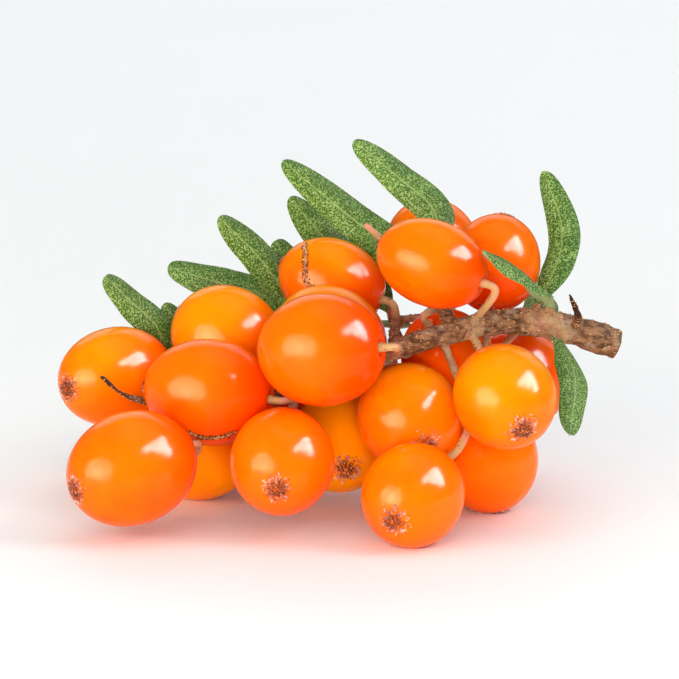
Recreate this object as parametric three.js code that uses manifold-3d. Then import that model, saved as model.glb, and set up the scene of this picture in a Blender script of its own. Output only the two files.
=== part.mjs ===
import * as THREE from 'three';
import { mergeVertices } from 'three/addons/utils/BufferGeometryUtils.js';
import Module from 'manifold-3d';

// A fresh sprig of sea buckthorn, lying on the table. Millimetres, +Z up, z = 0 is the table.
// The twig lies along X with its thorn tip towards -X and its cut end towards +X.

const wasm = await Module();
wasm.setup();

const middle = [5.08, 0.12];     // the middle of the sprig's plan, which becomes x = y = 0
const air = 0.15;                // clearance between neighbours
const pressed = 0.16;            // how far the lowest berries flatten on the table
const dimple = { depth: 0.7, radius: 0.95 };     // where the pedicel enters a berry
const calyx = { proud: 0.15, radius: 0.9 };       // the dried rest of the flower at a berry's tip
const pedicelRadius = 0.34;
const pedicelGap = 0.45;         // between the pedicel's end and the bottom of the dimple
const pedicelBend = 0.9;         // how far the pedicel runs straight before it turns to its limb
const leafThickness = 0.62;
const leafWidest = 0.35;         // the share of its length where a leaf is widest
const leafCrown = [[1, -0.5], [0.5, -0.1], [0, -0.08], [-0.5, -0.1], [-1, -0.5]];     // across, lift
const berrySides = 14;
const twigSides = 9;
const pedicelSides = 6;

const at = (x, y, z) => new THREE.Vector3(x - middle[0], y - middle[1], z);
const towards = (x, y, z) => new THREE.Vector3(x, y, z).normalize();

// Woody limbs: the points of the centreline, and the radius at its start and at its end.
const limbs = {
  main: {
    route: [at(28.6, 1.6, 13.6), at(24, 0.6, 15.2), at(19.2, -1, 16.1), at(14.4, -4, 15.8),
      at(9.6, -5.5, 14.5), at(4.8, -4, 11.8), at(0, -1.5, 9.8), at(-4.8, 0, 8.9), at(-9.6, 0, 8.7),
      at(-13.2, -1.1, 9.8), at(-15.1, -1.6, 11.5)],
    radius: [1.35, 0.26], steps: 30,
  },
  leafyShoot: {
    route: [at(14.6, -4, 15.8), at(13.8, -1.5, 17.5), at(12.6, 1, 19.6), at(10.5, 2.2, 21.4),
      at(8.8, 2.5, 22.4), at(7.2, 2.5, 23.8)],
    radius: [0.65, 0.26], steps: 9,
  },
  rearSpur: {
    route: [at(0, -1.5, 9.8), at(0, 2.8, 9.6), at(1, 6.5, 11.7), at(1.4, 9, 13.4), at(1.5, 10.5, 13.6)],
    radius: [0.6, 0.35], steps: 6,
  },
  farSpur: {
    route: [at(10.6, -5.4, 14.8), at(9.9, -1, 14), at(9.7, 4, 13.8), at(9.8, 8, 14.2)],
    radius: [0.65, 0.35], steps: 6,
  },
  tipSpur: {
    route: [at(-7.2, 0.1, 8.8), at(-8.4, 4, 9), at(-8.9, 7, 9.6), at(-9.2, 8.2, 10.4)],
    radius: [0.5, 0.3], steps: 6,
  },
  sideThorn: {
    route: [at(25, 0.8, 15), at(25.2, -2.5, 16.8), at(24.4, -5.6, 19.4)],
    radius: [0.55, 0.12], steps: 5,
  },
};

// Berries: centre, length along the axis, width across it, and the way the calyx tip points.
const berries = [
  { centre: at(-14, 3.8, 10.3), length: 10.7, width: 8.4, tip: towards(-0.75, -0.65, -0.06) },
  { centre: at(-12.3, -12.2, 5.9), length: 11.6, width: 9.5, tip: towards(-0.81, -0.55, -0.2),
    via: [at(-7.4, -4.6, 5.3)] },
  { centre: at(-5.7, -5.2, 10.7), length: 11.2, width: 9, tip: towards(-0.95, 0.28, 0.05) },
  { centre: at(-4.1, 5.6, 13.1), length: 10.1, width: 9, tip: towards(-0.8, 0.4, 0.4) },
  { centre: at(3.6, -9.7, 15.5), length: 10.9, width: 9.5, tip: towards(-0.93, 0.3, -0.1) },
  { centre: at(4.5, 9, 17.1), length: 9.4, width: 7.5, tip: towards(-0.93, 0.2, 0.3) },
  { centre: at(0.1, -11.4, 6.5), length: 10.1, width: 8.8, tip: towards(-0.07, -0.96, -0.255) },
  { centre: at(5.1, 0.1, 5.6), length: 9.6, width: 8.4, tip: towards(0.125, -0.95, -0.28),
    via: [at(2.6, 4.6, 8.6)] },
  { centre: at(-6.9, 2.2, 4.3), length: 9.6, width: 8.4, tip: towards(-0.8, 0.1, -0.55) },
  { centre: at(11, -6, 9.1), length: 10.1, width: 8.9, tip: towards(0.25, -0.9, -0.3) },
  { centre: at(11.2, -14.4, 4.3), length: 9.6, width: 8.6, tip: towards(-0.35, -0.9, -0.25),
    via: [at(15, -9.2, 6.8), at(15.9, -7, 9.2)] },
  { centre: at(12.9, -4.4, 21.8), length: 9.8, width: 7.3, tip: towards(-0.88, 0.3, 0.3) },
  { centre: at(13.1, 14, 19.2), length: 9.2, width: 8.2, tip: towards(-0.3, 0.5, 0.8) },
  { centre: at(4.1, 1.1, 14.1), length: 10.1, width: 8.7, tip: towards(-0.5, 0.3, 0.2) },
  { centre: at(14.4, 2.6, 12.2), length: 8.9, width: 7.9, tip: towards(0.3, 0.4, -0.6) },
  { centre: at(18.9, -10.2, 11.6), length: 9.6, width: 8.6, tip: towards(0.3, -0.85, -0.4) },
  { centre: at(17.2, -2.5, 4.4), length: 9.4, width: 8.4, tip: towards(0.1, -0.1, -1) },
  { centre: at(18.3, 3.4, 20.2), length: 8.6, width: 7.7, tip: towards(0.2, 0.5, 0.8) },
  { centre: at(-11, 10.1, 4.6), length: 9.4, width: 8.4, tip: towards(-0.7, 0.6, -0.3) },
  { centre: at(5.6, 9.6, 8.4), length: 9.2, width: 8.1, tip: towards(0.7, 0.6, -0.3) },
  { centre: at(12.9, 10.1, 4.7), length: 9.6, width: 8.6, tip: towards(0.1, 0.6, -0.6) },
  { centre: at(-1.8, 14.6, 10), length: 9.1, width: 8.2, tip: towards(-0.5, 0.8, 0.1) },
  { centre: at(19.8, 7.3, 9.5), length: 9.4, width: 8.4, tip: towards(0.3, 0.7, -0.5) },
  { centre: at(-1.4, 8.6, 4.1), length: 9.4, width: 8.4, tip: towards(-0.3, 0.6, -0.4) },
];

// Leaves: the midrib from the limb outwards, the full width, and the way the upper side faces.
const leaves = [
  { midrib: [at(12.7, 1.9, 20.8), at(13.2, 5.4, 24.2), at(9.9, 7.2, 27.1), at(6.3, 8.2, 29.9)], width: 3.1,
    face: towards(-0.15, -0.75, 0.6) },
  { midrib: [at(12, 2.2, 19.6), at(10.5, 6.2, 19.8), at(8.8, 10.4, 20.7), at(6.2, 12.9, 22.2),
    at(3.1, 13.4, 24.7), at(0.2, 13.4, 27.1)], width: 3.4, face: towards(-0.15, -0.85, 0.45) },
  { midrib: [at(9.5, 9.3, 14.9), at(8.1, 12.6, 15.9), at(5.3, 14.7, 18.4), at(0.8, 14.6, 23.7)], width: 3.5,
    face: towards(-0.15, -0.75, 0.6) },
  { midrib: [at(0.5, 9.9, 14.4), at(0.2, 11, 16.2), at(-1.9, 10.9, 19.3), at(-5.2, 9.9, 22.9)], width: 2.9,
    face: towards(-0.1, -0.85, 0.5) },
  { midrib: [at(2.1, 11.1, 13.8), at(1.7, 13.5, 16.2), at(-0.4, 13.2, 20.2)], width: 3.4,
    face: towards(0, -0.7, 0.7) },
  { midrib: [at(0.4, 10.6, 13.6), at(-1.4, 12.5, 15.5), at(-4.8, 12.3, 16.6), at(-9.6, 11.2, 18.3)],
    width: 3.9, face: towards(0, -0.7, 0.7) },
  { midrib: [at(-9.4, 8.6, 10.8), at(-10.6, 8.2, 13.8), at(-12.6, 7.8, 15.9), at(-14.9, 7.2, 18.3)],
    width: 2.9, face: towards(-0.1, -0.7, 0.7) },
  { midrib: [at(-8.9, 9, 10.7), at(-8.4, 10.6, 12.6), at(-9.9, 10.8, 15.2)], width: 2.2,
    face: towards(-0.1, -0.7, 0.7) },
  { midrib: [at(21.8, 1, 16.8), at(24, 5, 22.1), at(22.5, 9, 27.1)], width: 3,
    face: towards(-0.4, -0.7, 0.5) },
  { midrib: [at(23, -0.8, 17.5), at(21.2, -4, 20.4), at(17.2, -8, 23.6)], width: 3,
    face: towards(-0.3, -0.6, 0.7) },
  { midrib: [at(23.4, -0.9, 14.8), at(24.9, -5.6, 12.6), at(24.4, -11.2, 8.6)], width: 2.9,
    face: towards(0.5, -0.4, 0.75) },
  { midrib: [at(10.1, 8.8, 13.9), at(10.3, 13.2, 13.2), at(8.2, 18.8, 12)], width: 3,
    face: towards(0.1, 0.3, 0.95) },
  { midrib: [at(20.6, 1.1, 15.5), at(22.4, 7, 16.2), at(21.5, 14, 17.6)], width: 3,
    face: towards(0.2, 0.3, 0.9) },
  { midrib: [at(-9.7, 9.4, 10), at(-12.5, 14, 10.6), at(-17.5, 17.5, 8.2)], width: 3,
    face: towards(-0.1, 0.3, 0.9) },
];

const materials = {
  wood: { color: 0x6b4a33, roughness: 0.85, metalness: 0 },
  fruit: { color: 0xf07a0c, roughness: 0.3, metalness: 0 },
  leaf: { color: 0x5f8f36, roughness: 0.65, metalness: 0 },
};

function curveThrough(points) {
  return new THREE.CatmullRomCurve3(points, false, 'centripetal');
}

// How far a berry reaches from its centre in a given direction.
function reach(berry, direction) {
  const along = berry.tip.dot(direction);
  const half = berry.length / 2;
  return Math.sqrt((half * along) ** 2 + (berry.width / 2) ** 2 * (1 - along ** 2));
}

// The point of a limb's centreline nearest to a given point, and the limb's radius there.
function nearestOnLimb(limb, point) {
  const samples = 60;
  let best = null;
  for (let i = 0; i <= samples; i++) {
    const place = limb.curve.getPoint(i / samples);
    const distance = place.distanceTo(point);
    if (!best || distance < best.distance) {
      best = { place, distance, radius: THREE.MathUtils.lerp(...limb.radius, i / samples) };
    }
  }
  return best;
}

// Berries that crowd each other are eased apart, off the wood and up from the table, until all are clear.
function settle() {
  const rounds = 260;
  const home = berries.map((berry) => berry.centre.clone());
  for (let round = 0; round < rounds; round++) {
    const pull = round < rounds * 0.6 ? 0.05 : 0;
    berries.forEach((berry, i) => berry.centre.lerp(home[i], pull));
    for (let i = 0; i < berries.length; i++) {
      for (let j = i + 1; j < berries.length; j++) {
        const line = berries[j].centre.clone().sub(berries[i].centre);
        const distance = line.length();
        line.normalize();
        const overlap = reach(berries[i], line) + reach(berries[j], line) + air - distance;
        if (overlap > 0) {
          berries[i].centre.addScaledVector(line, -overlap / 2);
          berries[j].centre.addScaledVector(line, overlap / 2);
        }
      }
    }
    for (const berry of berries) {
      for (const limb of Object.values(limbs)) {
        const { place, distance, radius } = nearestOnLimb(limb, berry.centre);
        const line = berry.centre.clone().sub(place).normalize();
        const overlap = reach(berry, line) + radius + air - distance;
        if (overlap > 0) berry.centre.addScaledVector(line, overlap);
      }
      berry.centre.z = Math.max(berry.centre.z, reach(berry, new THREE.Vector3(0, 0, 1)) - pressed);
    }
  }
}

// Rings of equally many points, each counterclockwise about the way they follow each other, joined to
// a closed skin. From the ring corner `turned` on, the quads are split the other way, as on a blade's
// underside.
function skin(rings, turned = Infinity) {
  const around = rings[0].length;
  const faces = [];
  for (let i = 0; i + 1 < rings.length; i++) {
    for (let j = 0; j < around; j++) {
      const a = i * around + j;
      const b = i * around + (j + 1) % around;
      const c = b + around;
      const d = a + around;
      if (j < turned) faces.push(a, b, c, a, c, d);
      else faces.push(a, b, d, b, c, d);
    }
  }
  const last = (rings.length - 1) * around;
  for (let j = 1; j + 1 < around; j++) {
    faces.push(0, j + 1, j);
    faces.push(last, last + j, last + j + 1);
  }
  const corners = rings.flat().flatMap((point) => point.toArray());
  const geometry = new THREE.BufferGeometry();
  geometry.setAttribute('position', new THREE.Float32BufferAttribute(corners, 3));
  geometry.setIndex(faces);
  return geometry;
}

// A round limb that tapers along a curve.
function limbSkin(curve, radius, steps, sides) {
  const frames = curve.computeFrenetFrames(steps, false);
  const rings = [];
  for (let i = 0; i <= steps; i++) {
    const centre = curve.getPointAt(i / steps);
    const r = THREE.MathUtils.lerp(radius[0], radius[1], i / steps);
    rings.push(Array.from({ length: sides }, (_, j) => {
      const turn = (j / sides) * 2 * Math.PI;
      return centre.clone()
        .addScaledVector(frames.normals[i], r * Math.cos(turn))
        .addScaledVector(frames.binormals[i], r * Math.sin(turn));
    }));
  }
  return skin(rings);
}

function toSolid(geometry) {
  const bare = geometry.clone();
  bare.deleteAttribute('normal');
  bare.deleteAttribute('uv');
  const merged = mergeVertices(bare, 1e-4);
  const index = merged.index.array;
  const triangles = [];
  for (let i = 0; i < index.length; i += 3) {
    const [a, b, c] = [index[i], index[i + 1], index[i + 2]];
    if (a !== b && b !== c && c !== a) triangles.push(a, b, c);
  }
  return new wasm.Manifold(new wasm.Mesh({
    numProp: 3,
    vertProperties: new Float32Array(merged.attributes.position.array),
    triVerts: new Uint32Array(triangles),
  }));
}

function toGeometry(solid) {
  const mesh = solid.getMesh();
  const geometry = new THREE.BufferGeometry();
  geometry.setAttribute('position', new THREE.BufferAttribute(new Float32Array(mesh.vertProperties), 3));
  geometry.setIndex(new THREE.BufferAttribute(new Uint32Array(mesh.triVerts), 1));
  return geometry;
}

// A berry is turned about its axis: the pedicel's dimple, an oval flank, and the calyx ring at the tip.
function berrySkin({ centre, length, width, tip }) {
  const onFlank = (angle) => new THREE.Vector2(width / 2 * Math.sin(angle), -length / 2 * Math.cos(angle));
  const rim = Math.asin(dimple.radius / (width / 2));
  const neck = Math.PI - Math.asin(calyx.radius / (width / 2));
  const rings = 7;
  const profile = [new THREE.Vector2(0, -length / 2 + dimple.depth)];
  for (let i = 0; i <= rings; i++) profile.push(onFlank(THREE.MathUtils.lerp(rim, neck, i / rings)));
  profile.push(new THREE.Vector2(calyx.radius * 0.55, length / 2 + calyx.proud));
  profile.push(new THREE.Vector2(0, length / 2 - calyx.proud));
  const geometry = new THREE.LatheGeometry(profile, berrySides);
  geometry.applyQuaternion(new THREE.Quaternion().setFromUnitVectors(new THREE.Vector3(0, 1, 0), tip));
  geometry.translate(centre.x, centre.y, centre.z);
  return geometry;
}

// What the table takes off the berries that rest on it, so that each has a small flat spot.
function tableSolid() {
  const side = 200;
  const geometry = new THREE.BoxGeometry(side, side, side);
  geometry.translate(0, 0, -side / 2);
  return toSolid(geometry);
}

// The pedicel leaves the dimple along the berry's axis and bends over to the nearest limb.
function pedicelSkin({ centre, length, tip, via = [] }) {
  const foot = centre.clone().addScaledVector(tip, dimple.depth - pedicelGap - length / 2);
  const bend = centre.clone().addScaledVector(tip, -length / 2 - pedicelBend);
  const last = via.at(-1) ?? bend;
  const root = Object.values(limbs).map((limb) => nearestOnLimb(limb, last))
    .reduce((best, one) => (one.distance < best.distance ? one : best));
  const curve = curveThrough([root.place, ...via.toReversed(), bend, foot]);
  return limbSkin(curve, [pedicelRadius * 1.3, pedicelRadius], 4 + 2 * via.length, pedicelSides);
}

// A narrow leaf: petiole, widest below the middle, tapering to a small round tip, with its two halves
// curved down on either side of the midrib.
function leafSkin({ midrib, width, face }) {
  const curve = curveThrough(midrib);
  const steps = 11;
  const petiole = 0.9;
  const rings = [];
  for (let i = 0; i <= steps; i++) {
    const u = i / steps;
    const along = curve.getTangentAt(u);
    const up = face.clone().addScaledVector(along, -face.dot(along)).normalize();
    const across = up.clone().cross(along);
    const opening = THREE.MathUtils.smoothstep(u, 0, leafWidest);
    const gone = Math.max(0, (u - leafWidest) / (1 - leafWidest));
    const rounding = Math.max(0.16, (1 - gone ** 2.2) ** 0.55);
    const half = THREE.MathUtils.lerp(petiole, width, opening) / 2 * rounding;
    const corner = ([s, lift], depth) => curve.getPointAt(u)
      .addScaledVector(across, s * half)
      .addScaledVector(up, lift * opening * rounding - depth);
    const upper = leafCrown.map((spot) => corner(spot, 0));
    const lower = leafCrown.map((spot) => corner(spot, leafThickness)).reverse();
    rings.push([...upper, ...lower]);
  }
  return skin(rings, 5);
}

for (const limb of Object.values(limbs)) limb.curve = curveThrough(limb.route);
settle();

const sprig = new THREE.Group();

function addPiece(name, geometry, material) {
  const mesh = new THREE.Mesh(geometry, new THREE.MeshStandardMaterial(material));
  mesh.name = name;
  sprig.add(mesh);
}

const wood = Object.values(limbs)
  .map((limb) => toSolid(limbSkin(limb.curve, limb.radius, limb.steps, twigSides)));
const pedicels = berries.map((berry) => toSolid(pedicelSkin(berry)));
addPiece('twig', toGeometry([...wood, ...pedicels].reduce((sum, one) => sum.add(one))), materials.wood);

const table = tableSolid();
berries.forEach((berry, i) => {
  const solid = toSolid(berrySkin(berry)).subtract(table);
  addPiece(`berry_${String(i + 1).padStart(2, '0')}`, toGeometry(solid), materials.fruit);
});

leaves.forEach((leaf, i) => {
  addPiece(`leaf_${String(i + 1).padStart(2, '0')}`, leafSkin(leaf), materials.leaf);
});

export default sprig;
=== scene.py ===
import math

import bpy
import numpy as np
from mathutils import Matrix, Vector
from mathutils.kdtree import KDTree


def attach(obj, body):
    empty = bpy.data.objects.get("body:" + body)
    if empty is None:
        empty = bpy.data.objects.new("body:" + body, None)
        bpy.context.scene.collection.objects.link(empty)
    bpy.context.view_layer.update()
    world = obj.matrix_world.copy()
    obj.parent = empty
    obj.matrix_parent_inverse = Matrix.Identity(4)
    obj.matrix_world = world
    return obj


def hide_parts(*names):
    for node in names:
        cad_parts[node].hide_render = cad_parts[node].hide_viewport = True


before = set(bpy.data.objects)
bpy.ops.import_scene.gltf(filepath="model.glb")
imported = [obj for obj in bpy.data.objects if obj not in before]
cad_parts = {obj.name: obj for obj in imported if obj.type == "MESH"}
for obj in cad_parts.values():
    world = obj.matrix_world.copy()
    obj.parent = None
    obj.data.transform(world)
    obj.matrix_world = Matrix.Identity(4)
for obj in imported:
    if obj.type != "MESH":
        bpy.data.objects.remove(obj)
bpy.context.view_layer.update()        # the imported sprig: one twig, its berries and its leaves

# Shapes are built in millimetres and brought to metres by keepPiece.
mm = 0.001
middle = np.array([5.08, 0.12, 0.0])       # the sprig's plan centre, which is x = y = 0 in the frame


def place(*point):
    return np.array(point, float) - middle


def unit(vector):
    vector = np.array(vector, float)
    return vector / np.linalg.norm(vector)


def rgb(red, green, blue):                  # screen colour to the linear one that sockets take
    def linear(c):
        c = c / 255
        return c / 12.92 if c <= 0.04045 else ((c + 0.055) / 1.055) ** 2.4
    return (linear(red), linear(green), linear(blue), 1.0)


class Wire:                                 # a socket that can stand in a sum
    def __init__(self, net, socket):
        self.net = net
        self.socket = socket

    def also(self, name):                   # another output of the same node
        return Wire(self.net, self.socket.node.outputs[name])

    def __add__(self, other):
        return self.net.sum("ADD", self, other)

    def __radd__(self, other):
        return self.net.sum("ADD", other, self)

    def __sub__(self, other):
        return self.net.sum("SUBTRACT", self, other)

    def __rsub__(self, other):
        return self.net.sum("SUBTRACT", other, self)

    def __mul__(self, other):
        return self.net.sum("MULTIPLY", self, other)

    def __rmul__(self, other):
        return self.net.sum("MULTIPLY", other, self)

    def __truediv__(self, other):
        return self.net.sum("DIVIDE", self, other)

    def __rtruediv__(self, other):
        return self.net.sum("DIVIDE", other, self)


class Net:                                  # one node tree, of a material or of a modifier
    def __init__(self, tree):
        self.tree = tree

    def node(self, kind, settings=None, values=None, out=0):
        made = self.tree.nodes.new(kind)
        for name, value in (settings or {}).items():
            if name == "stops":
                while len(made.color_ramp.elements) < len(value):
                    made.color_ramp.elements.new(0.5)
                for element, (position, colour) in zip(made.color_ramp.elements, value):
                    element.position = position
                    element.color = colour
            else:
                setattr(made, name, value)
        for name, value in (values or {}).items():
            if isinstance(value, Wire):
                self.tree.links.new(value.socket, made.inputs[name])
            else:
                made.inputs[name].default_value = value
        return Wire(self, made.outputs[out]) if len(made.outputs) else None

    def sum(self, operation, *terms):
        return self.node("ShaderNodeMath", {"operation": operation}, dict(enumerate(terms)))

    def vector(self, operation, *terms, out="Vector"):
        return self.node("ShaderNodeVectorMath", {"operation": operation}, dict(enumerate(terms)), out)

    def stretch(self, value, low, high):    # a soft step from 0 at low to 1 at high
        return self.node("ShaderNodeMapRange", {"interpolation_type": "SMOOTHSTEP"},
                         {"Value": value, "From Min": low, "From Max": high})

    def blend(self, first, second, share):  # sockets 6 and 7 are a Mix node's two colours
        return self.node("ShaderNodeMix", {"data_type": "RGBA"}, {0: share, 6: first, 7: second}, 2)

    def noise(self, where, scale, detail=2.0, rough=0.5):
        return self.node("ShaderNodeTexNoise", {}, {"Vector": where, "Scale": scale, "Detail": detail,
                                                   "Roughness": rough})

    def cells(self, where, scale):          # how far a point is from the nearest of many scattered ones
        return self.node("ShaderNodeTexVoronoi", {}, {"Vector": where, "Scale": scale}, "Distance")

    def millimetres(self):                  # where a point of the surface is, in millimetres
        spot = self.node("ShaderNodeTexCoord", out="Object")
        return self.node("ShaderNodeMapping", {}, {"Vector": spot, "Scale": (1000, 1000, 1000)})

    def stored(self, name):                 # an attribute, read in a material
        return self.node("ShaderNodeAttribute", {"attribute_name": name}, out="Fac")

    def named(self, name, kind="FLOAT"):    # an attribute, read in a modifier
        return self.node("GeometryNodeInputNamedAttribute", {"data_type": kind}, {"Name": name}, "Attribute")

    def store(self, geometry, name, value, domain="POINT"):
        return self.node("GeometryNodeStoreNamedAttribute", {"data_type": "FLOAT", "domain": domain},
                         {"Geometry": geometry, "Name": name, "Value": value})

    def scaled(self, vector, size):         # a vector times a number
        return self.node("ShaderNodeVectorMath", {"operation": "SCALE"}, {0: vector, "Scale": size})

    def finished(self, geometry, material):
        return self.node("GeometryNodeSetMaterial", {}, {"Geometry": geometry, "Material": material})

    def realized(self, geometry):
        return self.node("GeometryNodeRealizeInstances", {}, {"Geometry": geometry})

    def joined(self, first, second):
        both = self.node("GeometryNodeJoinGeometry", {}, {"Geometry": first})
        self.tree.links.new(second.socket, both.socket.node.inputs["Geometry"])
        return both

    def flake(self, sides, top, bottom, depth):         # one small scale or bristle
        sizes = {"Vertices": sides, "Radius Top": top, "Radius Bottom": bottom, "Depth": depth}
        return self.node("GeometryNodeMeshCone", {"fill_type": "TRIANGLE_FAN"}, sizes, "Mesh")


def newMaterial(name, build, **fixed):
    material = bpy.data.materials.new(name)
    material.use_nodes = True
    material.node_tree.nodes.clear()
    net = Net(material.node_tree)
    varying = build(net)
    relief = varying.pop("relief", None)
    if relief:
        height, distance = relief
        varying["Normal"] = net.node("ShaderNodeBump", {}, {"Height": height, "Distance": distance})
    shader = net.node("ShaderNodeBsdfPrincipled", {}, {**fixed, **varying})
    net.node("ShaderNodeOutputMaterial", {}, {"Surface": shader})
    return material


# In a finish, a value that ends in Most is how far a tint covers where it is strongest. Reliefs are in mm.
berryLook = {
    "body": rgb(253, 110, 0), "paleAndPaintedLit": rgb(255, 141, 0), "deep": rgb(230, 58, 0),
    "tipTint": rgb(206, 80, 16), "dot": rgb(255, 158, 36),
    "cloudy": 0.6, "paintedShadeBelow": 0.3, "deepMost": 0.75, "stalkMost": 0.8, "tipMost": 0.6, "dotMost": 0.32,
    "dotScale": 1.5, "roughness": 0.12, "peelRelief": 0.006,
}


def berryShading(net):
    look = berryLook
    where = net.millimetres()
    axial = net.stored("axial")
    tone = net.stored("tone")
    cloud = net.noise(where, 0.22, 3.0)
    ripe = tone + (cloud - 0.5) * look["cloudy"]
    ripe = ripe - look["paintedShadeBelow"] * net.stored("upward")       # painted shade: deeper underneath, paler above
    # the pale colour is the tone of less ripe berries and also the painted light on the tops
    colour = net.blend(look["paleAndPaintedLit"], look["body"], net.stretch(ripe, 0.1, 0.55))
    colour = net.blend(colour, look["deep"], net.stretch(ripe, 0.55, 1.2) * look["deepMost"])
    stalkEnd = net.stretch(axial, 0.5, 0.0) * look["stalkMost"]
    colour = net.blend(colour, look["deep"], stalkEnd)
    fromTip = net.stored("fromTip")
    colour = net.blend(colour, look["tipTint"], net.stretch(fromTip, 1.15, 0.2) * look["tipMost"])
    dots = net.stretch(net.cells(where, look["dotScale"]), 0.13, 0.05)
    dots = dots * net.stretch(net.noise(where, 0.5), 0.45, 0.62)        # they come in groups
    colour = net.blend(colour, look["dot"], dots * look["dotMost"])
    peel = net.noise(where, 3.2, 2.0)
    return {
        "Base Color": colour,
        "Roughness": look["roughness"] + 0.08 * net.noise(where, 0.8, 2.0) + dots * 0.1,
        "relief": (peel * 0.6 + dots * 0.4, look["peelRelief"] * mm),
    }


berrySkin = newMaterial("berrySkin", berryShading, **{
    "Subsurface Weight": 0.5, "Subsurface Radius": (1.0, 0.25, 0.05), "Subsurface Scale": 1.6 * mm,
    "IOR": 1.42, "Specular IOR Level": 0.12,
})

scurfLook = {                               # from the darkest scale to the palest
    "calyxScurf": [(0.0, rgb(70, 30, 18)), (0.4, rgb(124, 50, 28)), (0.62, rgb(186, 104, 82)),
                   (1.0, rgb(236, 186, 172))],
    "barkScurf": [(0.0, rgb(64, 28, 10)), (0.4, rgb(124, 64, 30)), (0.62, rgb(190, 120, 70)),
                  (1.0, rgb(228, 186, 130))],
}


def scurfFinish(name):
    def shading(net):
        pick = net.stored("scaleTone")
        colour = net.node("ShaderNodeValToRGB", {"stops": scurfLook[name]}, {"Fac": pick}, "Color")
        return {"Base Color": colour, "Roughness": 0.5 + 0.2 * pick}
    return newMaterial(name, shading, **{"Specular IOR Level": 0.1})


calyxScurf = scurfFinish("calyxScurf")
barkScurf = scurfFinish("barkScurf")

barkLook = {
    "furrow": rgb(78, 48, 30), "ridge": rgb(146, 104, 70), "weathered": rgb(168, 148, 122),
    "rust": rgb(134, 70, 36), "blush": rgb(212, 146, 116), "straw": rgb(188, 152, 98),
    "youngRust": rgb(160, 88, 60), "thorn": rgb(30, 13, 5), "thornGrain": rgb(66, 34, 16),
    "wood": rgb(214, 186, 132), "ring": rgb(176, 138, 86), "pith": rgb(120, 82, 50),
    "underBark": rgb(88, 92, 48), "weatheredMost": 0.5, "rustMost": 0.8, "youngRustMost": 0.6,
    "thornMost": 0.97, "ringMost": 0.7, "underMost": 0.8, "ringScale": 30.0, "grainRelief": 0.05,
}


def barkShading(net):
    look = barkLook
    where = net.millimetres()
    young = net.stored("young")
    cut = net.stored("cutFace")
    ring = net.stored("ringRadius")
    drawn = net.node("ShaderNodeMapping", {}, {"Vector": where, "Scale": (0.5, 1.6, 1.6)})
    grain = net.noise(drawn, 1.8, 5.0, 0.62)
    patch = net.noise(where, 0.9, 3.0)
    old = net.blend(look["furrow"], look["ridge"], net.stretch(grain, 0.36, 0.64))
    old = net.blend(old, look["weathered"], net.stretch(patch, 0.5, 0.68) * look["weatheredMost"])
    rust = net.stretch(net.cells(where, 3.4), 0.22, 0.1) * look["rustMost"]
    old = net.blend(old, look["rust"], rust)
    fresh = net.blend(look["blush"], look["straw"], net.stretch(patch, 0.35, 0.65))
    fresh = net.blend(fresh, look["youngRust"], rust * look["youngRustMost"])
    colour = net.blend(old, fresh, young)
    thorn = net.blend(look["thorn"], look["thornGrain"], grain)
    colour = net.blend(colour, thorn, net.stored("bareThorn") * look["thornMost"])
    rings = net.sum("SINE", ring * look["ringScale"])
    wood = net.blend(look["wood"], look["ring"], net.stretch(rings, -0.3, 0.9) * look["ringMost"])
    wood = net.blend(wood, look["pith"], net.stretch(ring, 0.24, 0.16))
    wood = net.blend(wood, look["underBark"], net.stretch(ring, 1.08, 1.2) * look["underMost"])
    colour = net.blend(colour, wood, cut)
    return {
        "Base Color": colour,
        "Roughness": 0.8 - 0.2 * young - 0.1 * patch,
        "relief": (grain * 0.8 + rust * 0.3, look["grainRelief"] * mm),
    }


bark = newMaterial("bark", barkShading, **{"Specular IOR Level": 0.06})

leafLook = {
    "blade": rgb(86, 126, 38), "dark": rgb(58, 98, 22), "midrib": rgb(166, 184, 108),
    "speckle": rgb(156, 184, 108), "shadow": rgb(40, 80, 12), "under": rgb(160, 172, 128),
    "rust": rgb(132, 92, 54), "scale": rgb(112, 148, 60), "paleScale": rgb(178, 192, 136),
    "paintedHalfShade": 0.22, "dimmed": 0.45, "shadowMost": 0.8, "ribMost": 0.5, "underLeast": 0.72,
    "underFelt": 0.18, "rustMost": 0.6, "feltScale": 7.0, "feltRelief": 0.03,
}


def leafShading(net):
    look = leafLook
    where = net.millimetres()
    across = net.stored("across")
    under = net.stored("under")
    width = net.sum("ABSOLUTE", across)
    cloud = net.noise(where, 0.7, 3.0)
    shade = net.stretch(cloud - look["paintedHalfShade"] * across, 0.4, 0.72)      # painted shade: one half is deeper green, as on a fold turned from the light, over a random darker mottle
    colour = net.blend(look["blade"], look["dark"], shade)
    felt = net.noise(where, look["feltScale"], 2.0, 0.55) + (net.cells(where, 9.5) - 0.45) * -0.3
    # the speckles are dimmer on the painted shaded half and in the dark mottle
    bright = net.stretch(felt, 0.48, 0.6) * (1.0 - look["dimmed"] * shade)
    hollow = net.stretch(felt, 0.5, 0.39)
    colour = net.blend(colour, look["shadow"], hollow * look["shadowMost"])
    colour = net.blend(colour, look["speckle"], bright)
    rib = net.stretch(width, 0.08, 0.02)
    colour = net.blend(colour, look["midrib"], rib * look["ribMost"])
    colour = net.blend(colour, look["under"], under * (look["underLeast"] + look["underFelt"] * bright))
    rust = net.stretch(net.cells(where, 2.6), 0.2, 0.1) * under
    colour = net.blend(colour, look["rust"], rust * look["rustMost"])
    return {
        "Base Color": colour,
        "Roughness": 0.55 + 0.12 * cloud,
        "relief": (bright * 0.7 - hollow * 0.4, look["feltRelief"] * mm),
    }


leafBlade = newMaterial("leafBlade", leafShading, **{
    "Specular IOR Level": 0.07,
    "Subsurface Weight": 0.12, "Subsurface Radius": (0.4, 0.8, 0.15), "Subsurface Scale": 0.5 * mm,
})


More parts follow.
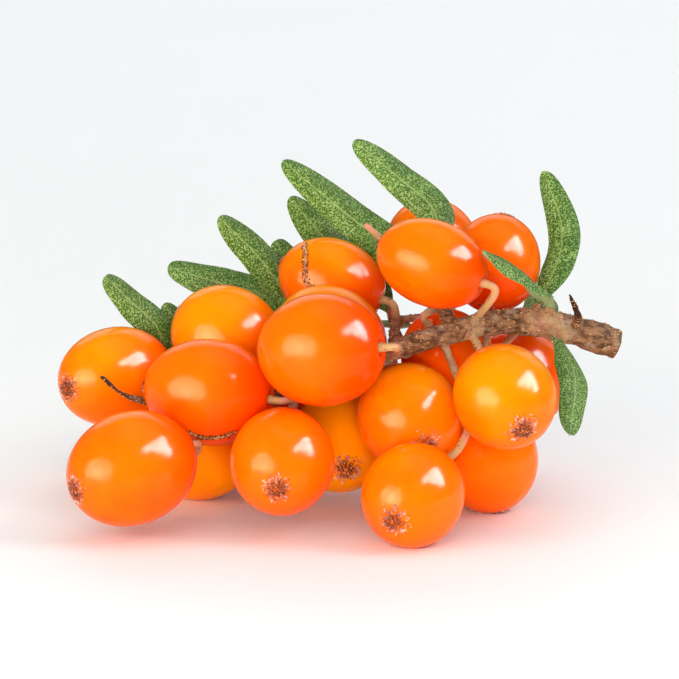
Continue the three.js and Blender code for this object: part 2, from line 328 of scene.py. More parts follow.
def leafScaleShading(net):
    pick = net.stored("scaleTone")
    colour = net.blend(leafLook["scale"], leafLook["paleScale"], pick)
    return {"Base Color": colour, "Roughness": 0.5 + 0.1 * pick}


leafScale = newMaterial("leafScale", leafScaleShading, **{"Specular IOR Level": 0.1})
print("finishes made")


def newObject(name, verts, faces):
    mesh = bpy.data.meshes.new(name)
    mesh.from_pydata([tuple(v) for v in verts], [], [tuple(f) for f in faces])
    mesh.update()
    made = bpy.data.objects.new(name, mesh)
    bpy.context.scene.collection.objects.link(made)
    return made


def storeValues(mesh, name, values):
    attribute = mesh.attributes.new(name, "FLOAT", "POINT")
    attribute.data.foreach_set("value", np.asarray(values, np.float32))


def newTree(name, sizes):
    tree = bpy.data.node_groups.new(name, "GeometryNodeTree")
    tree.interface.new_socket("Geometry", in_out="INPUT", socket_type="NodeSocketGeometry")
    for label, kind in sizes.items():
        tree.interface.new_socket(label, in_out="INPUT", socket_type="NodeSocket" + kind)
    tree.interface.new_socket("Geometry", in_out="OUTPUT", socket_type="NodeSocketGeometry")
    net = Net(tree)
    given = net.node("NodeGroupInput")
    return net, given


def closeTree(net, geometry):
    net.node("NodeGroupOutput", {}, {"Geometry": geometry})
    return net.tree


def growTree(made, tree, values):           # runs a tree on an object and keeps the result as its plain mesh
    grower = made.modifiers.new("grow", "NODES")
    grower.node_group = tree
    for item in tree.interface.items_tree:
        if item.item_type == "SOCKET" and item.in_out == "INPUT" and item.name in values:
            grower[item.identifier] = values[item.name]
    bakeModifiers(made)


def bakeModifiers(made):
    depsgraph = bpy.context.evaluated_depsgraph_get()
    depsgraph.update()
    mesh = bpy.data.meshes.new_from_object(made.evaluated_get(depsgraph), preserve_all_data_layers=True,
                                           depsgraph=depsgraph)
    made.modifiers.clear()
    made.data = mesh


def keepPiece(made, slot, *nodes):
    made.data.transform(Matrix.Scale(mm, 4))
    made.data.shade_smooth()
    made.data.update()
    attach(made, "root")
    if nodes:
        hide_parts(*nodes)


def curvePoints(points, shares):            # a centripetal Catmull-Rom curve through the points
    points = np.array(points, float)
    ends = [2 * points[0] - points[1], *points, 2 * points[-1] - points[-2]]
    result = []
    for share in shares:
        along = share * (len(points) - 1)
        leg = min(int(along), len(points) - 2)
        t = along - leg
        a, b, c, d = ends[leg:leg + 4]
        before, here, after = (max(np.linalg.norm(q - p) ** 0.5, 1e-4) for p, q in ((a, b), (b, c), (c, d)))
        out = ((b - a) / before - (c - a) / (before + here) + (c - b) / here) * here
        back = ((c - b) / here - (d - b) / (here + after) + (d - c) / after) * here
        bend = 3 * (c - b) - 2 * out - back
        twist = 2 * (b - c) + out + back
        result.append(b + out * t + bend * t ** 2 + twist * t ** 3)
    return np.array(result)


def evenPoints(points, pitch):              # the same curve, at equal steps
    fine = curvePoints(points, np.linspace(0, 1, 40 * (len(points) - 1) + 1))
    run = np.concatenate([[0], np.cumsum(np.linalg.norm(np.diff(fine, axis=0), axis=1))])
    count = max(4, round(run[-1] / pitch))
    marks = np.linspace(0, run[-1], count + 1)
    return np.stack([np.interp(marks, run, fine[:, k]) for k in range(3)], axis=1), marks


def tubeRings(line, radii, sides):
    tangents = np.gradient(line, axis=0)
    tangents /= np.linalg.norm(tangents, axis=1)[:, None]
    side = unit(np.cross(tangents[0], (0.3, 0.5, 0.8)))
    rings = []
    for centre, tangent, radius in zip(line, tangents, radii):
        side = unit(side - tangent * (side @ tangent))
        other = np.cross(tangent, side)
        turns = np.linspace(0, 2 * math.pi, sides, endpoint=False)
        rings.append(centre + radius * (np.cos(turns)[:, None] * side + np.sin(turns)[:, None] * other))
    return rings


def skinFaces(count, sides, start=0):       # rings joined to one closed skin
    faces = []
    for i in range(count - 1):
        for j in range(sides):
            a, b = start + i * sides + j, start + i * sides + (j + 1) % sides
            faces.append((a, b, b + sides, a + sides))
    faces.append(tuple(start + j for j in reversed(range(sides))))
    faces.append(tuple(start + (count - 1) * sides + j for j in range(sides)))
    return faces


def scatter(net, skin, piece, most, share, gap, seed, upright, tone, size):
    # Small scales on a skin: how close they stand, the way they point, and each one's tone and size.
    points = net.node("GeometryNodeDistributePointsOnFaces", {"distribute_method": "POISSON"},
                      {"Mesh": skin, "Distance Min": gap, "Density Max": most, "Density Factor": share,
                       "Seed": seed}, "Points")
    grown = net.node("GeometryNodeInstanceOnPoints", {},
                     {"Points": points, "Instance": piece, "Rotation": facing(net, upright), "Scale": size})
    return net.store(grown, "scaleTone", tone, "INSTANCE")


def randomValue(net, low, high, seed):
    return net.node("FunctionNodeRandomValue", {"data_type": "FLOAT"}, {2: low, 3: high, "Seed": seed}, 1)


def facing(net, direction):                 # the turn that points a scale's own Z along a direction
    return net.node("FunctionNodeAlignRotationToVector", {"axis": "Z"}, {"Vector": direction})


berryMake = {                               # named as the inputs of the berry's tree
    "Sides": 96, "Rings": 60, "Dimple Depth": 0.72, "Dimple Radius": 0.62, "Beak": 0.16, "Beak Radius": 0.5,
    "Wobble": 0.02,
}
# A flake is its number of sides, its radius at the top and at the foot, and its height. A zone is how far
# from the tip, in units of the tuft's size, flakes stop and where they stand thickest.
tuftMake = {
    "bristle": (5, 0.02, 0.07, 0.24), "bristles": 60.0, "bristleGap": 0.06, "bristleZone": (1.4, 0.4),
    "scale": (6, 0.03, 0.075, 0.045), "scales": 34.0, "scaleGap": 0.1, "scaleZone": (1.65, 0.9),
    "sway": ((-0.45, -0.45, -0.2), (0.45, 0.45, 0.35)), "lift": 0.45,
    "slight": 0.5, "slightOn": {3, 4, 5, 6, 12, 14},    # on these berries the flower left little behind
}

# Length, width, ripeness and the way the tip points, in the order of the nodes.
berries = [
    (10.7, 8.4, 0.45, (-0.75, -0.65, -0.06)),
    (11.6, 9.5, 0.75, (-0.81, -0.55, -0.2)),
    (11.2, 9.0, 0.85, (-0.95, 0.28, 0.05)),
    (10.1, 9.0, 0.05, (-0.8, 0.4, 0.4)),
    (10.9, 9.5, 0.75, (-0.93, 0.3, -0.1)),
    (9.4, 7.5, 0.48, (-0.93, 0.2, 0.3)),
    (10.1, 8.8, 0.75, (-0.07, -0.96, -0.255)),
    (9.6, 8.4, -0.3, (0.125, -0.95, -0.28)),
    (9.6, 8.4, 0.0, (-0.8, 0.1, -0.55)),
    (10.1, 8.9, 0.5, (0.25, -0.9, -0.3)),
    (9.6, 8.6, 0.65, (-0.35, -0.9, -0.25)),
    (9.8, 7.3, 0.6, (-0.88, 0.3, 0.3)),
    (9.2, 8.2, 0.7, (-0.3, 0.5, 0.8)),
    (10.1, 8.7, 0.5, (-0.5, 0.3, 0.2)),
    (8.9, 7.9, 0.8, (0.3, 0.4, -0.6)),
    (9.6, 8.6, 0.3, (0.3, -0.85, -0.4)),
    (9.4, 8.4, 0.6, (0.1, -0.1, -1)),
    (8.6, 7.7, 0.85, (0.2, 0.5, 0.8)),
    (9.4, 8.4, 0.3, (-0.7, 0.6, -0.3)),
    (9.2, 8.1, 0.6, (0.7, 0.6, -0.3)),
    (9.6, 8.6, 0.4, (0.1, 0.6, -0.6)),
    (9.1, 8.2, 0.7, (-0.5, 0.8, 0.1)),
    (9.4, 8.4, 0.9, (0.3, 0.7, -0.5)),
    (9.4, 8.4, 0.5, (-0.3, 0.6, -0.4)),
]
# The points that a pedicel passes on its way round other berries, from its fruit to its limb.
pedicelStops = {
    2: [(-7.4, -4.6, 5.3)],
    8: [(2.6, 4.6, 8.6)],
    11: [(15, -9.2, 6.8), (15.9, -7, 9.2)],
}
dimpleRim = 0.95                            # radius of the dimple's rim on the solid berries


def berryCentre(node, length, width, tip):
    # The rim of the dimple is the ring of corners furthest from the tip; the centre lies half a length on.
    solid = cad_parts[node].data
    corners = np.array(sorted({tuple(round(c / mm, 4) for c in v.co) for v in solid.vertices}))
    along = corners @ tip
    ring = corners[along < along.min() + 0.01]
    return ring.mean(axis=0) + tip * length / 2 * math.cos(math.asin(dimpleRim / (width / 2)))


def berryShape(net, given):                 # a ball drawn out to an oval, with a dimple and a small beak
    ball = net.node("GeometryNodeMeshUVSphere", {},
                    {"Segments": given.also("Sides"), "Rings": given.also("Rings"), "Radius": 1.0})
    spot = net.node("GeometryNodeInputPosition")
    apart = net.node("ShaderNodeSeparateXYZ", {}, {"Vector": spot}, "X")
    x, y, z = apart, apart.also("Y"), apart.also("Z")
    angle = net.sum("ARCCOSINE", net.sum("MINIMUM", net.sum("MAXIMUM", z, -1.0), 1.0))
    spread = net.sum("SQRT", x * x + y * y)
    angle = angle - 0.22 * net.sum("SINE", 2.0 * angle)         # rings crowd towards both ends
    out = net.sum("SINE", angle)
    up = net.sum("COSINE", angle)
    rough = net.node("ShaderNodeTexNoise", {"noise_dimensions": "4D"},
                     {"Vector": spot, "W": given.also("Seed") * 1.7, "Scale": 0.9, "Detail": 1.0})
    swell = 1.0 + given.also("Wobble") * (rough - 0.5) * 2.0
    half = given.also("Width") * 0.5 * swell
    radius = out * half
    share = half * out / net.sum("MAXIMUM", spread, 1e-5)
    reach = radius / given.also("Dimple Radius")
    dip = net.sum("EXPONENT", -1.0 * reach * reach) * given.also("Dimple Depth")
    dip = dip * net.sum("LESS_THAN", up, 0.0)
    beak = radius / given.also("Beak Radius")
    rise = net.sum("EXPONENT", -1.0 * beak * beak) * given.also("Beak")
    rise = rise * net.sum("GREATER_THAN", up, 0.0)
    height = up * given.also("Length") * 0.5 + dip + rise
    shaped = net.node("ShaderNodeCombineXYZ", {}, {"X": x * share, "Y": y * share, "Z": height})
    tipSpot = net.node("ShaderNodeCombineXYZ", {}, {"Z": given.also("Length") * 0.5})
    fromTip = net.vector("DISTANCE", shaped, tipSpot, out="Value")
    skin = ball
    for name, value in {"axial": up * 0.5 + 0.5, "fromTip": fromTip, "tone": given.also("Tone")}.items():
        skin = net.store(skin, name, value)
    skin = net.node("GeometryNodeSetPosition", {}, {"Geometry": skin, "Position": shaped})
    return net.finished(skin, berrySkin)


def driedFlower(net, given, skin):          # a ragged tuft of bristles with flat scales round it
    make = tuftMake
    seed = given.also("Seed")
    gone = net.named("fromTip") / given.also("Tuft")
    normal = net.node("GeometryNodeInputNormal")
    outwards = net.vector("MULTIPLY", net.node("GeometryNodeInputPosition"), (1.0, 1.0, 0.0))
    outwards = net.vector("NORMALIZE", outwards)
    drift = net.node("FunctionNodeRandomValue", {"data_type": "FLOAT_VECTOR"},
                     {0: make["sway"][0], 1: make["sway"][1], "Seed": seed}, 0)
    lean = net.vector("ADD", net.vector("ADD", outwards, drift), net.scaled(normal, make["lift"]))
    paler = net.stretch(gone, 0.3, 1.3) * 0.5
    tuft = scatter(
        net, skin, net.flake(*make["bristle"]), most=make["bristles"],
        share=net.stretch(gone, *make["bristleZone"]) * 0.95, gap=make["bristleGap"], seed=seed,
        upright=lean, tone=randomValue(net, 0.0, 0.55, seed) + paler,
        size=randomValue(net, 0.7, 1.25, seed))
    halo = scatter(
        net, skin, net.flake(*make["scale"]), most=make["scales"],
        share=net.stretch(gone, *make["scaleZone"]) * 0.8, gap=make["scaleGap"], seed=seed + 7,
        upright=normal, tone=randomValue(net, 0.35, 1.0, seed + 3),
        size=randomValue(net, 0.6, 1.2, seed + 5))
    return net.finished(net.realized(net.joined(tuft, halo)), calyxScurf)


def makeBerryTree():
    net, given = newTree("berryTree", {
        "Sides": "Int", "Rings": "Int", "Length": "Float", "Width": "Float", "Dimple Depth": "Float",
        "Dimple Radius": "Float", "Beak": "Float", "Beak Radius": "Float", "Wobble": "Float", "Seed": "Int",
        "Tone": "Float", "Turn": "Vector", "Centre": "Vector", "Tuft": "Float",
    })
    skin = berryShape(net, given)
    turned = net.node("GeometryNodeTransform", {}, {
        "Geometry": net.joined(skin, driedFlower(net, given, skin)), "Translation": given.also("Centre"),
        "Rotation": given.also("Turn"),
    })

    # height on the berry, for the painted shade underneath, and the flat spot where a berry rests on the
    # table
    spot = net.node("GeometryNodeInputPosition")
    apart = net.node("ShaderNodeSeparateXYZ", {}, {"Vector": spot}, "X")
    middleZ = net.node("ShaderNodeSeparateXYZ", {}, {"Vector": given.also("Centre")}, "Z")
    upward = (apart.also("Z") - middleZ) * 2.0 / given.also("Width")
    turned = net.store(turned, "upward", upward)
    floor = net.node("ShaderNodeCombineXYZ", {},
                     {"X": apart, "Y": apart.also("Y"), "Z": net.sum("MAXIMUM", apart.also("Z"), 0.0)})
    turned = net.node("GeometryNodeSetPosition", {}, {"Geometry": turned, "Position": floor})
    return closeTree(net, net.realized(turned))


berryTree = makeBerryTree()
centres = []
for number, (length, width, ripeness, tip) in enumerate(berries, 1):
    tip = unit(tip)
    node = f"berry_{number:02d}"
    centre = berryCentre(node, length, width, tip)
    centres.append(centre)
    spin = Vector((0, 0, 1)).rotation_difference(Vector(tip)).to_euler()
    made = newObject(f"berrySkin_{number:02d}", [(0, 0, 0)], [])
    growTree(made, berryTree, {
        **berryMake, "Length": length, "Width": width, "Seed": number * 11, "Tone": ripeness,
        "Turn": tuple(spin), "Centre": tuple(float(c) for c in centre),
        "Tuft": tuftMake["slight"] if number in tuftMake["slightOn"] else 1.0,
    })
    keepPiece(made, "berry_skin", node)
print("berries made")

scratchMake = {"Ridge": 0.04, "Count": 240, "Spread": 0.25, "flake": (6, 0.03, 0.08, 0.09), "step": 1.5}
scratches = {                               # degrees from the tip, and degrees round the axis
    3: [(85, -145), (93, -150), (102, -152), (113, -152), (125, -149)],
    6: [(49, -36), (57, -61), (62, -79), (68, -94), (73, -102), (80, -102)],
}


def makeScratchTree():
    net, given = newTree("scratchTree", {"Ridge": "Float", "Count": "Int", "Spread": "Float", "Seed": "Int"})
    path = net.node("GeometryNodeMeshToCurve", {}, {"Mesh": given})
    path = net.node("GeometryNodeResampleCurve", {"mode": "COUNT"},
                    {"Curve": path, "Count": given.also("Count")})
    profile = net.node("GeometryNodeCurvePrimitiveCircle", {},
                       {"Resolution": 6, "Radius": given.also("Ridge")})
    ridge = net.node("GeometryNodeCurveToMesh", {},
                     {"Curve": path, "Profile Curve": profile, "Fill Caps": True})
    ridge = net.store(ridge, "scaleTone", 0.5)
    points = net.node("GeometryNodeCurveToPoints", {"mode": "EVALUATED"}, {"Curve": path}, "Points")
    away = net.named("away", "FLOAT_VECTOR")
    seed = given.also("Seed")
    drift = net.node("FunctionNodeRandomValue", {"data_type": "FLOAT_VECTOR"},
                     {0: (-1, -1, -1), 1: (1, 1, 1), "Seed": seed}, 0)
    lift = net.scaled(away, net.vector("DOT_PRODUCT", drift, away, out="Value"))
    drift = net.vector("SUBTRACT", drift, lift)
    pale = net.stretch(net.vector("LENGTH", drift, out="Value"), 1.0, 0.35)       # dark along both edges
    points = net.store(points, "pale", pale)
    points = net.node("GeometryNodeSetPosition", {},
                      {"Geometry": points, "Offset": net.scaled(drift, given.also("Spread"))})
    grown = net.node("GeometryNodeInstanceOnPoints", {}, {
        "Points": points, "Instance": net.flake(*scratchMake["flake"]), "Rotation": facing(net, away),
        "Scale": randomValue(net, 0.6, 1.3, seed + 1),
    })
    tone = 0.6 * net.named("pale") + randomValue(net, 0.0, 0.5, seed + 2)
    grown = net.store(grown, "scaleTone", tone, "INSTANCE")
    return closeTree(net, net.finished(net.realized(net.joined(ridge, grown)), barkScurf))


scratchTree = makeScratchTree()
for number, spots in scratches.items():
    length, width, _, tip = berries[number - 1]
    spin = Vector((0, 0, 1)).rotation_difference(Vector(unit(tip)))
    line, outwards = [], []
    for fromTip, around, _ in evenPoints([(*spot, 0) for spot in spots], scratchMake["step"])[0]:
        a, b = math.radians(fromTip), math.radians(around)
        ball = Vector((math.sin(a) * math.cos(b), math.sin(a) * math.sin(b), math.cos(a)))
        half = Vector((width / 2, width / 2, length / 2))
        line.append(spin @ (ball * half) + Vector(centres[number - 1]))
        outwards.append((spin @ Vector(ball[k] / half[k] for k in range(3))).normalized())
    made = newObject(f"scratch_{number:02d}", line, [])
    made.data.edges.add(len(line) - 1)
    made.data.edges.foreach_set("vertices", [k for i in range(len(line) - 1) for k in (i, i + 1)])
    away = made.data.attributes.new("away", "FLOAT_VECTOR", "POINT")
    away.data.foreach_set("vector", [c for way in outwards for c in way])
    growTree(made, scratchTree, {**scratchMake, "Seed": number})
    keepPiece(made, "bark")
print("scratches made")

leafMake = {
    "steps": 64, "across": 18, "widest": 0.35, "petiole": 0.9, "thickness": 0.62, "edge": 0.26, "curl": 0.5,
    "groove": 0.1, "grooveWidth": 0.14, "ribWidth": 0.2, "wave": 0.1, "waves": 15, "tipTaper": 2.2,
    "tipRoundness": 0.42, "tipLeast": 0.06, "tipCrowding": 1.35, "lip": 6,
    "scale": (6, 0.015, 0.045, 0.025), "scales": 12.0, "scaleGap": 0.13, "feltAbove": 0.12,
}

# Width, the way the upper side faces, and the midrib from the limb outwards.
leaves = [
    (3.1, (-0.15, -0.75, 0.6), [(12.7, 1.9, 20.8), (13.2, 5.4, 24.2), (9.9, 7.2, 27.1), (6.3, 8.2, 29.9)]),
    (3.4, (-0.15, -0.85, 0.45), [(12, 2.2, 19.6), (10.5, 6.2, 19.8), (8.8, 10.4, 20.7), (6.2, 12.9, 22.2),
                                 (3.1, 13.4, 24.7), (0.2, 13.4, 27.1)]),
    (3.5, (-0.15, -0.75, 0.6), [(9.5, 9.3, 14.9), (8.1, 12.6, 15.9), (5.3, 14.7, 18.4), (0.8, 14.6, 23.7)]),
    (2.9, (-0.1, -0.85, 0.5), [(0.5, 9.9, 14.4), (0.2, 11, 16.2), (-1.9, 10.9, 19.3), (-5.2, 9.9, 22.9)]),
    (3.4, (0, -0.7, 0.7), [(2.1, 11.1, 13.8), (1.7, 13.5, 16.2), (-0.4, 13.2, 20.2)]),
    (3.9, (0, -0.7, 0.7), [(0.4, 10.6, 13.6), (-1.4, 12.5, 15.5), (-4.8, 12.3, 16.6), (-9.6, 11.2, 18.3)]),
    (2.9, (-0.1, -0.7, 0.7), [(-9.4, 8.6, 10.8), (-10.6, 8.2, 13.8), (-12.6, 7.8, 15.9), (-14.9, 7.2, 18.3)]),
    (2.2, (-0.1, -0.7, 0.7), [(-8.9, 9, 10.7), (-8.4, 10.6, 12.6), (-9.9, 10.8, 15.2)]),
    (3.0, (-0.4, -0.7, 0.5), [(21.8, 1, 16.8), (24, 5, 22.1), (22.5, 9, 27.1)]),
    (3.0, (-0.3, -0.6, 0.7), [(23, -0.8, 17.5), (21.2, -4, 20.4), (17.2, -8, 23.6)]),
    (2.9, (0.5, -0.4, 0.75), [(23.4, -0.9, 14.8), (24.9, -5.6, 12.6), (24.4, -11.2, 8.6)]),
    (3.0, (0.1, 0.3, 0.95), [(10.1, 8.8, 13.9), (10.3, 13.2, 13.2), (8.2, 18.8, 12)]),
    (3.0, (0.2, 0.3, 0.9), [(20.6, 1.1, 15.5), (22.4, 7, 16.2), (21.5, 14, 17.6)]),
    (3.0, (-0.1, 0.3, 0.9), [(-9.7, 9.4, 10), (-12.5, 14, 10.6), (-17.5, 17.5, 8.2)]),
]


def smooth(low, high, value):
    value = min(1.0, max(0.0, (value - low) / (high - low)))
    return value * value * (3 - 2 * value)


def skinHeights(u, s, opening, rounding, phase):        # the upper and the lower skin, at a share across
    make = leafMake
    a = abs(s)
    ripple = make["wave"] * a ** 3 * math.sin(u * make["waves"] + phase) * opening
    crown = -make["curl"] * a ** 2.3 - make["groove"] * math.exp(-(a / make["grooveWidth"]) ** 2)
    crown *= opening * rounding
    rib = 0.75 * math.exp(-(a / make["ribWidth"]) ** 2) + 0.25 * (1 - a)
    deep = make["edge"] + (make["thickness"] - make["edge"]) * rib * opening
    deep += (1 - opening) * 0.2 * (1 - a)
    deep *= (1 - a ** make["lip"]) ** 0.5 * (0.35 + 0.65 * rounding)        # nothing at the lip
    return crown + ripple, crown + ripple - deep


def leafMesh(name, width, face, midrib, number):        # one blade, as a closed skin
    make = leafMake
    face = unit(face)
    fine, marks = evenPoints([place(*p) for p in midrib], 0.1)
    slopes = np.gradient(fine, axis=0)
    shares = 1 - (1 - np.linspace(0, 1, make["steps"] + 1)) ** make["tipCrowding"]
    cross = np.sin(np.linspace(-1, 1, make["across"] + 1) * math.pi / 2)
    verts, values = [], {"across": [], "under": []}
    for u in shares:
        mark = u * marks[-1]
        centre = np.array([np.interp(mark, marks, fine[:, k]) for k in range(3)])
        along = unit([np.interp(mark, marks, slopes[:, k]) for k in range(3)])
        up = unit(face - along * (face @ along))
        side = np.cross(up, along)
        opening = smooth(0, make["widest"], u)
        gone = max(0, (u - make["widest"]) / (1 - make["widest"]))
        rounding = max(make["tipLeast"], (1 - gone ** make["tipTaper"]) ** make["tipRoundness"])
        half = (make["petiole"] + (width - make["petiole"]) * opening) / 2 * rounding
        upper, lower = [], []
        for s in cross:
            high, low = skinHeights(u, s, opening, rounding, number + (2 if s > 0 else 0))
            here = centre + side * s * half
            upper.append(here + up * high)
            lower.append(here + up * low)
        ring = upper[::-1] + lower[1:-1]
        verts += ring
        values["across"] += list(cross[::-1]) + list(cross[1:-1])
        values["under"] += [0.0] * len(upper) + [1.0] * (len(lower) - 2)
    made = newObject(name, verts, skinFaces(len(shares), 2 * make["across"]))
    for key, numbers in values.items():
        storeValues(made.data, key, numbers)
    return made


def makeLeafTree():                         # most of the felt's scales are underneath
    net, given = newTree("leafTree", {"Density": "Float", "Seed": "Int"})
    skin = net.finished(given, leafBlade)
    seed = given.also("Seed")
    scales = scatter(
        net, skin, net.flake(*leafMake["scale"]), most=given.also("Density"),
        share=leafMake["feltAbove"] + (1 - leafMake["feltAbove"]) * net.named("under"),
        gap=leafMake["scaleGap"], seed=seed,
        upright=net.node("GeometryNodeInputNormal"), tone=randomValue(net, 0.0, 1.0, seed + 1),
        size=randomValue(net, 0.6, 1.15, seed + 2))
    scales = net.finished(net.realized(scales), leafScale)
    return closeTree(net, net.realized(net.joined(skin, scales)))


leafTree = makeLeafTree()
for number, (width, face, midrib) in enumerate(leaves, 1):
    made = leafMesh(f"leafBlade_{number:02d}", width, face, midrib, number)
    growTree(made, leafTree, {"Density": leafMake["scales"], "Seed": 40 + number})
    keepPiece(made, "leaf_blade", f"leaf_{number:02d}")
print("leaves made")

# Centrelines, and the radius at their start and end.
limbs = {
    "main": ([(28.6, 1.6, 13.6), (24, 0.6, 15.2), (19.2, -1, 16.1), (14.4, -4, 15.8), (9.6, -5.5, 14.5),
              (4.8, -4, 11.8), (0, -1.5, 9.8), (-4.8, 0, 8.9), (-9.6, 0, 8.7), (-13.2, -1.1, 9.8),
              (-15.1, -1.6, 11.5)], 1.35, 0.2),
    "leafyShoot": ([(14.6, -4, 15.8), (13.8, -1.5, 17.5), (12.6, 1, 19.6), (10.5, 2.2, 21.4),
                    (8.8, 2.5, 22.4), (7.2, 2.5, 23.8)], 0.65, 0.26),
    "rearSpur": ([(0, -1.5, 9.8), (0, 2.8, 9.6), (1, 6.5, 11.7), (1.4, 9, 13.4),
                  (1.5, 10.5, 13.6)], 0.6, 0.35),
    "farSpur": ([(10.6, -5.4, 14.8), (9.9, -1, 14), (9.7, 4, 13.8), (9.8, 8, 14.2)], 0.65, 0.35),
    "tipSpur": ([(-7.2, 0.1, 8.8), (-8.4, 4, 9), (-8.9, 7, 9.6), (-9.2, 8.2, 10.4)], 0.5, 0.3),
    "sideThorn": ([(25, 0.8, 15), (25.2, -2.5, 16.8), (24.4, -5.6, 19.4)], 0.55, 0.12),
}
twigMake = {
    "sides": 18, "pitch": 0.35, "voxel": 0.125, "pedicelRadius": 0.34, "pedicelReach": 0.9,
    "collar": 0.45, "collarLength": 0.7, "cushion": 0.44, "cushionReach": 0.35, "bud": (0.9, 1.75),
    "budRadius": 0.36, "budLean": 0.9, "waist": 0.35, "waistAt": 0.96, "waistLength": 0.025,
    "knots": 0.05, "knotsPerMm": 1.9, "fineKnots": 0.03, "fineKnotsPerMm": 4.3, "relief": 0.16,
    "scale": (6, 0.05, 0.1, 0.07), "scales": 18.0, "scaleGap": 0.1,
}
# Between these shares of its length a limb turns to bare dark thorn.
thorny = {"main": (0.88, 0.975), "sideThorn": (0.3, 0.55)}


limbLines = {name: curvePoints([place(*p) for p in points], np.linspace(0, 1, 61))
             for name, (points, _, _) in limbs.items()}


def nearestOnLimbs(point):
    spots = [line[np.argmin(np.linalg.norm(line - point, axis=1))] for line in limbLines.values()]
    return min(spots, key=lambda spot: np.linalg.norm(spot - point))


def bump(marks, at, length):
    return np.exp(-((marks - at) / length) ** 2)


# A route is its points and radii, and how young and how thorny its bark is at each point.
def limbRoute(name, points, first, last):
    make = twigMake
    line, marks = evenPoints([place(*p) for p in points], make["pitch"])
    share = marks / marks[-1]
    radii = np.interp(share, [0, 1], [first, last])
    knots = 1 + make["knots"] * np.sin(marks * make["knotsPerMm"] + len(name))
    knots = knots + make["fineKnots"] * np.sin(marks * make["fineKnotsPerMm"] + 2)
    if name == "main":                      # its thorn is thinnest a little before the tip
        knots = knots * (1 - make["waist"] * bump(share, make["waistAt"], make["waistLength"]))
    else:                                   # the others are thicker where they leave it
        radii = radii * (1 + make["collar"] * bump(marks, 0, make["collarLength"]))
    bare = np.interp(share, thorny.get(name, (2, 3)), (0, 1))
    youth = share * (0 if name in thorny else 0.3)
    if name == "leafyShoot":                # its end is this year's growth
        youth = youth + 0.5 * (share > 0.86)
    return line, radii * knots, youth, bare


def cushionRoute(root, foot, way):          # the cushion that carries a leaf
    make = twigMake
    line, marks = evenPoints([root, (root + foot) / 2, foot, foot + way * make["cushionReach"]], 0.12)
    radii = np.interp(marks, [0, marks[-1]], [make["cushion"] * 1.25, make["cushion"] * 0.8])
    return line, radii, np.full(len(marks), 0.45), marks * 0


def budRoute(root, foot, way):              # the bud above a cushion
    make = twigMake
    lean = unit(way + make["budLean"] * unit(foot - root) + (0, 0, 0.25))
    root = root + unit(np.cross(way, lean)) * 0.25
    swell, tip = make["bud"]
    line, marks = evenPoints([root, root + lean * swell, root + lean * tip], 0.1)
    share = marks / marks[-1]
    radii = 0.08 + make["budRadius"] * np.sin(math.pi * np.clip(share * 0.62 + 0.36, 0, 1)) ** 0.8
    return line, radii, np.full(len(marks), 0.3), marks * 0


def pedicelRoute(centre, length, tip, stops):           # from its limb to the bottom of its berry's dimple
    make = twigMake
    tip = unit(tip)
    foot = centre + tip * (berryMake["Dimple Depth"] + 0.05 - length / 2)
    bend = centre - tip * (length / 2 + make["pedicelReach"])
    stops = [place(*p) for p in stops]
    root = nearestOnLimbs(stops[-1] if stops else bend)
    line, marks = evenPoints([root, *reversed(stops), bend, foot], 0.2)
    fromFruit = marks[-1] - marks
    radii = np.full(len(marks), make["pedicelRadius"])
    radii *= 1 + 0.5 * bump(marks, 0, 0.8) + 0.25 * bump(fromFruit, 0.5, 0.35)      # thicker at both ends
    return line, radii, np.clip(marks / marks[-1] * 2.2, 0, 1), marks * 0


routes = [limbRoute(name, *limb) for name, limb in limbs.items()]
for _, _, midrib in leaves:
    foot = place(*midrib[0])
    way = unit(place(*midrib[1]) - foot)
    for route in (cushionRoute, budRoute):
        routes.append(route(nearestOnLimbs(foot), foot, way))
for number, (length, _, _, tip) in enumerate(berries, 1):
    routes.append(pedicelRoute(centres[number - 1], length, tip, pedicelStops.get(number, [])))


def twigMesh():                             # a tube along every route, all merged to one skin
    verts, faces = [], []
    for line, radii, _, _ in routes:
        rings = tubeRings(line, radii, twigMake["sides"])
        faces += skinFaces(len(rings), twigMake["sides"], len(verts))
        for ring in rings:
            verts.extend(ring)
    made = newObject("twigBark", verts, faces)
    merge = made.modifiers.new("merge", "REMESH")
    merge.mode = "VOXEL"
    merge.voxel_size = twigMake["voxel"]
    soften = made.modifiers.new("soften", "SMOOTH")
    soften.factor = 0.5
    soften.iterations = 3
    bakeModifiers(made)
    return made


def markBark(mesh):                         # what the bark's finish reads at each point of the twig
    guide = [spot for line, _, youth, bare in routes for spot in zip(line, youth, bare)]
    nearest = KDTree(len(guide))
    for i, (point, _, _) in enumerate(guide):
        nearest.insert(point, i)
    nearest.balance()
    mainLine = routes[0][0]
    cutWay = unit(mainLine[0] - mainLine[1])
    values = {"young": [], "bareThorn": [], "cutFace": [], "ringRadius": []}
    for vertex in mesh.vertices:
        _, young, bare = guide[nearest.find(vertex.co)[1]]
        gone = np.array(vertex.co) - mainLine[0]
        ahead = gone @ cutWay
        ring = min(3.0, float(np.linalg.norm(gone - cutWay * ahead)))
        onEnd = -0.09 < ahead < 0.5 and ring < 1.7
        facesOut = np.array(vertex.normal) @ cutWay > 0.75
        for name, value in zip(values, (young, bare, float(onEnd and facesOut), ring)):
            values[name].append(value)
    for name, numbers in values.items():
        storeValues(mesh, name, numbers)


